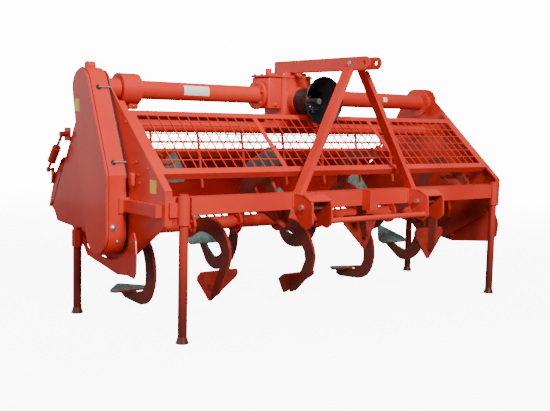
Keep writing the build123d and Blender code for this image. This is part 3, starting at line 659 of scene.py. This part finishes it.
# Small holder and bolts on the left plate's outer face, and the bolts through the mast
holderLook = {"low": (-1274, 316, 738), "high": (-1250.5, 358, 806), "bevel": 0.009}
mesh = bmesh.new()
addBlock(mesh, holderLook["low"], holderLook["high"], holderLook["bevel"])
finishPiece("plateHolder", mesh, "frame", "red")
plateSpots = ((290, 798), (281, 759), (313, 861), (198, 833), (427, 1056))
boltGroup("plateBolts", "frame", "red", 0.0065, [(spot(-1250, y, z), -alongX) for y, z in plateSpots])
mastSpots = [(spot(side * 48, 97, 1407), alongX * side) for side in (-1, 1)]
boltGroup("mastBolts", "frame", "zinc", 0.0095, mastSpots)

# Clamp lug under the collar at the drive tube's left end
lugLook = {
    "low": (-1106, 670, 1123),
    "high": (-1046, 730, 1162),
    "bevel": 0.010,
    "bolt": (-1076, 670, 1139),
    "radius": 0.009,
}
mesh = bmesh.new()
addBlock(mesh, lugLook["low"], lugLook["high"], lugLook["bevel"])
addBolt(mesh, spot(*lugLook["bolt"]), -alongY, lugLook["radius"])
finishPiece("collarLug", mesh, "frame", "red")

# Bolts on the rotor's hub discs, on the side away from the spade
hubLook = {
    "first": -1106,
    "pitch": 308,
    "count": 8,
    "back": 25.5,
    "circle": 0.052,
    "bolts": 6,
    "radius": 0.0085,
}
places = []
for i in range(hubLook["count"]):
    hubX = spot(hubLook["first"] + i * hubLook["pitch"] - hubLook["back"], 0, 0).x
    centre = Vector((hubX, rotorAxis.y, rotorAxis.z))
    hubRing = ringOf(centre, alongX, alongY, hubLook["circle"], hubLook["bolts"], i * 0.6)
    places += [(place, -alongX) for place in hubRing]
boltGroup("hubBolts", "rotor", "red", hubLook["radius"], places)

# Weld beads: mast legs on the beam, brackets on the beam, corners of the guard frame
mesh = bmesh.new()
for side in (-1, 1):
    addWeld(mesh, spot(side * 423.5 - 19, 13, 708), spot(side * 423.5 + 19, 13, 708), 0.0042)
    for x in (357, 373, 487, 503):
        addWeld(mesh, spot(side * x, -2, 628), spot(side * x, -2, 702), 0.0035)
    addWeld(mesh, spot(side * 1207, 137, 826), spot(side * 1207, 160, 846), 0.0035)
    addWeld(mesh, spot(side * 48, 82, 1376), spot(side * 48, 112, 1376), 0.0035)
finishPiece("weldBeads", mesh, "frame", "red", 60)
print("small pieces placed")

# Floor and light: a pale floor that fades into the background, a key from the front, fills at the sides
# and behind; the fills that the photograph doesn't have stay out of reflections
backdrop = 14.0  # brightness that the camera sees behind the machine
floorLook = {
    "size": 160.0,
    "colour": (0.80, 0.80, 0.80, 1),
    "glow": 8.0,
    "near": 2.5,
    "far": 9.0,
    "unseen": (0.14, 0.12, 0.12, 1),  # the floor's colour to light rays: it throws little back up
}


def seenByCamera(tree):
    return tree.make("ShaderNodeLightPath", {}, {}, 0)


def makeFloor():
    mesh = bmesh.new()
    bmesh.ops.create_grid(mesh, x_segments=2, y_segments=2, size=floorLook["size"] / 2)
    data = bpy.data.meshes.new("floor")
    mesh.to_mesh(data)
    mesh.free()
    floor = bpy.data.objects.new("floor", data)
    bpy.context.scene.collection.objects.link(floor)
    material, tree = newTree("floorMatt")
    place = tree.make("ShaderNodeTexCoord", {}, {}, 3)
    distance = place.make("ShaderNodeVectorMath", {"operation": "LENGTH"}, {0: place}, 1)
    away = distance.step(floorLook["near"], floorLook["far"])
    seen = seenByCamera(tree)
    black = (0, 0, 0, 1)
    glow = away.blend((floorLook["glow"],) * 3 + (1,), (backdrop,) * 3 + (1,))
    closeTree(
        tree,
        {"Roughness": 0.95, "Specular IOR Level": 0.0, "Emission Strength": 1.0},
        {
            "Base Color": (away * seen).blend(seen.blend(floorLook["unseen"], floorLook["colour"]), black),
            "Emission Color": seen.blend(black, glow),
        },
    )
    data.materials.append(material)


makeFloor()
lightLook = [
    {"name": "keyLight", "place": (-1.6, -6.3, 4.7), "size": 1.8, "power": 900, "colour": (1.0, 0.98, 0.95)},
    {"name": "topLight", "place": (-2.4, -1.0, 5.5), "size": 2.0, "power": 130, "colour": (1.0, 1.0, 1.0)},
    {"name": "leftVeil", "place": (-4.6, 4.8, 1.6), "size": 4.5, "power": 72, "colour": (1.0, 0.96, 0.95)},
    {"name": "leftFill", "place": (-6.0, -0.6, 1.8), "size": 3.0, "power": 65, "colour": (1.0, 0.97, 0.95)},
    {
        "name": "rightFill",
        "place": (6.5, 0.8, 2.4),
        "size": 3.0,
        "power": 190,
        "colour": (1.0, 0.98, 0.96),
        "gloss": False,
    },
    {
        "name": "rearFill",
        "place": (2.2, 6.4, 3.4),
        "size": 3.0,
        "power": 380,
        "colour": (1.0, 0.98, 0.96),
        "gloss": False,
    },
]
target = Vector((0, 0, 0.7))
for look in lightLook:
    lamp = bpy.data.lights.new(look["name"], "AREA")
    lamp.size = look["size"]
    lamp.energy = look["power"]
    lamp.color = look["colour"]
    holder = bpy.data.objects.new(look["name"], lamp)
    holder.visible_glossy = look.get("gloss", True)
    holder.location = look["place"]
    holder.rotation_euler = (target - holder.location).to_track_quat("-Z", "Y").to_euler()
    bpy.context.scene.collection.objects.link(holder)

world = bpy.data.worlds.new("studio")
bpy.context.scene.world = world
world.use_nodes = True
world.node_tree.nodes.clear()
sky = Wire(world.node_tree)
share = seenByCamera(sky)
ambient = (0.22, 0.22, 0.23, 1)
skyColour = share.blend(ambient, (backdrop,) * 3 + (1,))
background = sky.make("ShaderNodeBackground", {}, {"Color": skyColour})
sky.make("ShaderNodeOutputWorld", {}, {"Surface": background})

# Camera at the photograph's angle: lens on a 36 mm sensor, angles in radians, place in millimetres
cameraLook = {
    "place": (-3261.353, -3405.194, 1080.730),
    "azimuth": -0.6594884,
    "elevation": 0.1001961,
    "roll": 0.0239859,
    "lens": 55.27,
}


def makeCamera(look):
    azimuth, elevation, roll = look["azimuth"], look["elevation"], look["roll"]
    flat = math.cos(elevation)
    back = Vector((math.sin(azimuth) * flat, -math.cos(azimuth) * flat, math.sin(elevation)))
    right = Vector((math.cos(azimuth), math.sin(azimuth), 0))
    up = back.cross(right)
    camRight = right * math.cos(roll) + up * math.sin(roll)
    camUp = up * math.cos(roll) - right * math.sin(roll)
    camera = bpy.data.cameras.new("camera")
    camera.lens = look["lens"]
    camera.sensor_width = 36.0
    holder = bpy.data.objects.new("camera", camera)
    basis = Matrix((camRight, camUp, back)).transposed().to_4x4()
    holder.matrix_world = Matrix.Translation(spot(*look["place"])) @ basis
    bpy.context.scene.collection.objects.link(holder)
    bpy.context.scene.camera = holder


makeCamera(cameraLook)
print("scene ready")
